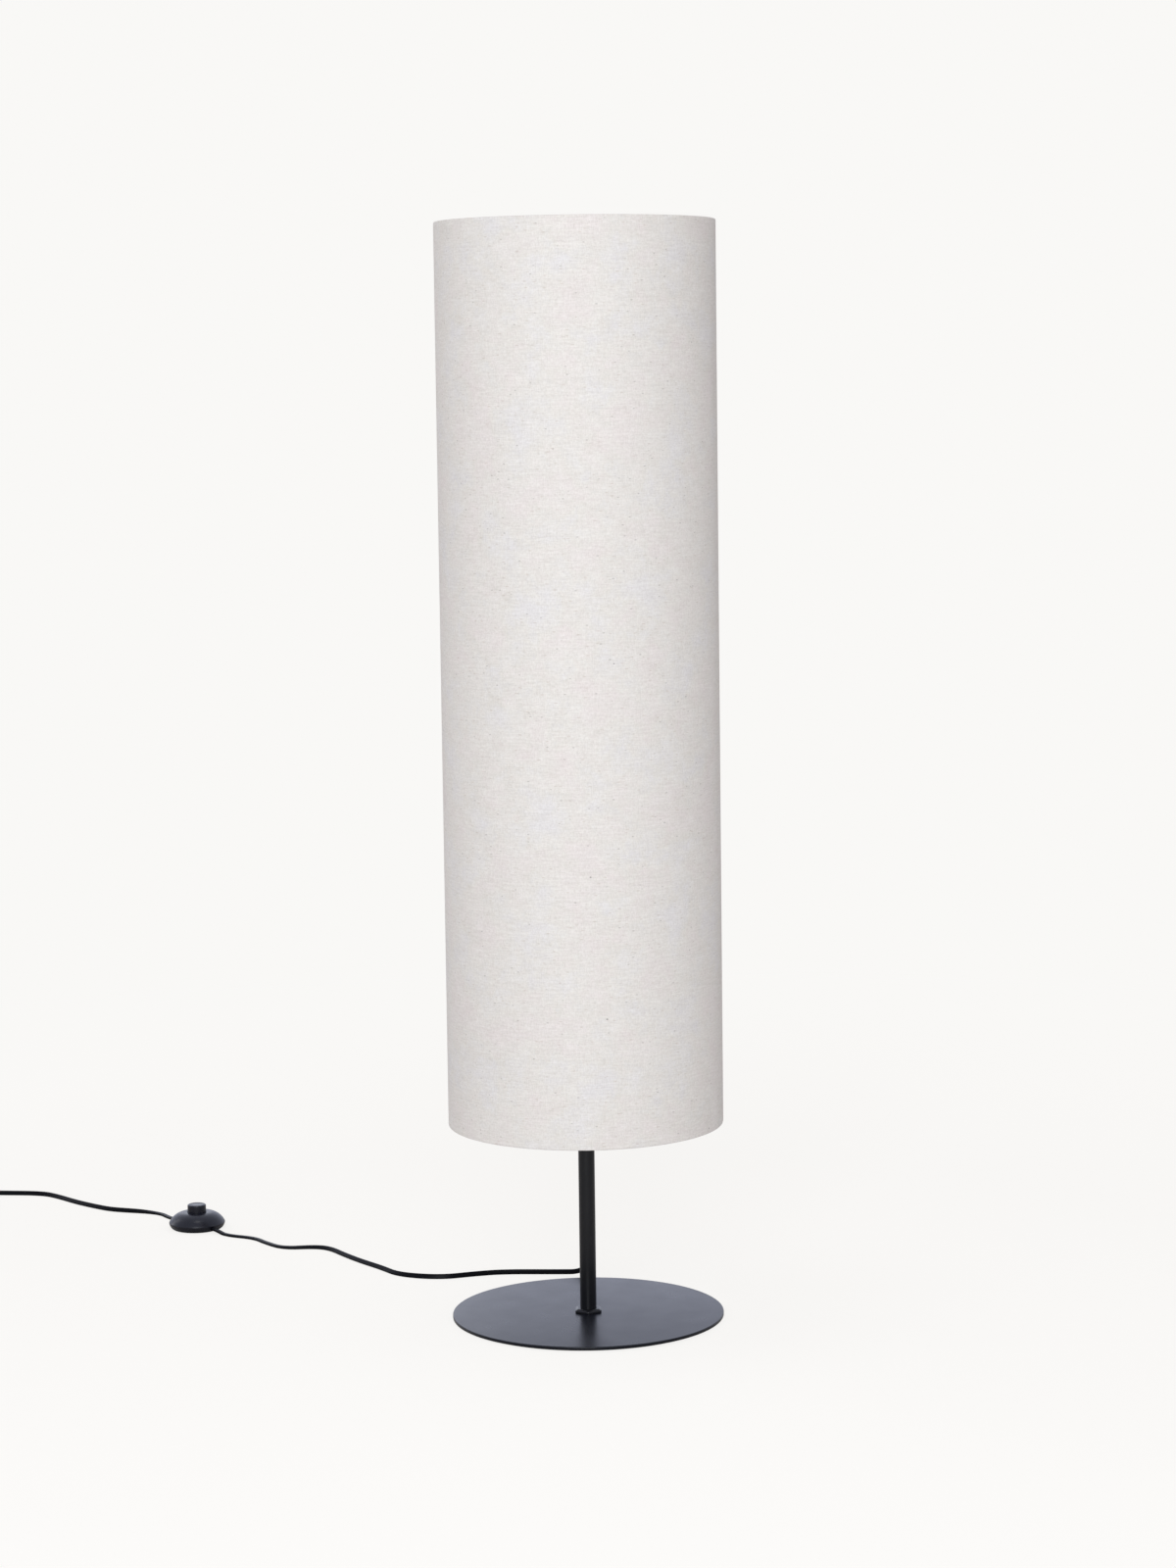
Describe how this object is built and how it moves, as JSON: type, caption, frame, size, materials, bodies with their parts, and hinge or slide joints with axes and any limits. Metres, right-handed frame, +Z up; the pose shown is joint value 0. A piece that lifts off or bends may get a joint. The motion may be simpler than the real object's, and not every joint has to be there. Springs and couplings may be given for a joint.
{
  "type": "floor lamp",
  "caption": "Column floor lamp: tall textile cylinder shade on a short black pole and round flat base, with an inline foot switch on its cord.",
  "frame": {"origin": "centre of the base's underside, on the floor", "axes": "+Z up along the pole, +X to the right and +Y to the back as the lamp is seen from the front"},
  "size_m": [0.8676, 0.6541, 1],
  "materials": {
    "pad_black": "closed-cell foam pad, matt black",
    "steel_black": "satin black powder coat",
    "steel_plain": "zinc-plated steel",
    "steel_white": "white powder coat",
    "bush_black": "soft black rubber",
    "holder_black": "black thermoplastic, fine satin",
    "core_white": "glazed white insulator",
    "brass": "bright brass",
    "shade_cloth": "off-white linen and cotton cloth",
    "liner_white": "white translucent liner",
    "lamp_cap": "nickel-plated cap",
    "lamp_body": "white plastic body",
    "lamp_globe": "opal white plastic",
    "lamp_black": "black glass insulator",
    "switch_black": "satin blue-black plastic",
    "spring_steel": "spring steel wire",
    "cord_black": "black sheath, semi-gloss",
    "pin_nickel": "nickel-plated brass"
  },
  "bodies": {
    "lamp": {"base_pad": "pad_black", "base_plate": "steel_black", "base_screw": "steel_plain", "pole_foot": "steel_black", "lower_pole": "steel_black", "pole_coupler": "steel_plain", "upper_pole": "steel_black", "pole_top_plug": "steel_black", "pole_nipple": "steel_plain", "cord_bush": "bush_black", "inner_lead": "cord_black", "holder_dome": "holder_black", "holder_grub_screw": "steel_plain", "holder_core": "core_white", "terminal_screws": "brass", "holder_shell": "holder_black", "screw_shell": "brass", "centre_contact": "brass", "side_contact": "brass", "lower_shade_ring": "holder_black", "switch_base": "switch_black", "switch_cover": "switch_black", "switch_screws": "steel_plain", "switch_terminals": "brass", "contact_blades": "brass", "switch_spring": "spring_steel", "lamp_cord": "cord_black", "mains_cord": "cord_black", "cord_coil": "cord_black", "plug_lead": "cord_black", "cord_tie": "bush_black", "plug_body": "cord_black", "plug_pins": "pin_nickel", "pin_sleeves": "holder_black"},
    "shade": {"carrier_hub": "steel_white", "carrier_arms": "steel_white", "carrier_ring": "steel_white", "shade_top_ring": "steel_white", "shade_bottom_ring": "steel_white", "shade_liner": "liner_white", "shade_fabric": "shade_cloth"},
    "ring_lift": {"ring_washer": "steel_plain"},
    "shade_ring": {"upper_shade_ring": "holder_black"},
    "bulb_lift": {"bulb_contact": "brass"},
    "bulb": {"bulb_insulator": "lamp_black", "bulb_cap": "lamp_cap", "bulb_housing": "lamp_body", "led_board": "steel_white", "bulb_globe": "lamp_globe"},
    "button": {"switch_button": "switch_black", "contact_ring": "brass"}
  },
  "joints": [
    {"name": "shade_turn", "type": "hinge", "parent": "lamp", "child": "shade", "pos_m": [0, 0, 0.55675], "axis": [0, 0, 1], "continuous": true},
    {"name": "ring_rise", "type": "slide", "parent": "lamp", "child": "ring_lift", "axis": [0, 0, 1], "range_m": [0, 0.01]},
    {"name": "ring_unscrew", "type": "hinge", "parent": "ring_lift", "child": "shade_ring", "pos_m": [0, 0, 0.5623], "axis": [0, 0, 1], "range_deg": [0, 1460]},
    {"name": "bulb_rise", "type": "slide", "parent": "lamp", "child": "bulb_lift", "axis": [0, 0, 1], "range_m": [0, 0.0163]},
    {"name": "bulb_unscrew", "type": "hinge", "parent": "bulb_lift", "child": "bulb", "pos_m": [0, 0, 0.5605], "axis": [0, 0, 1], "range_deg": [0, 1640]},
    {"name": "button_press", "type": "slide", "parent": "lamp", "child": "button", "axis": [0, 0, -1], "range_m": [0, 0.0035], "stiffness_N_per_m": 600, "springref_m": -0.006, "deforming": ["switch_spring"]}
  ],
  "couplings": [
    {"joint": "ring_unscrew", "follows": "ring_rise", "rad_per_m": 2513.3},
    {"joint": "bulb_unscrew", "follows": "bulb_rise", "rad_per_m": 1731.4}
  ]
}
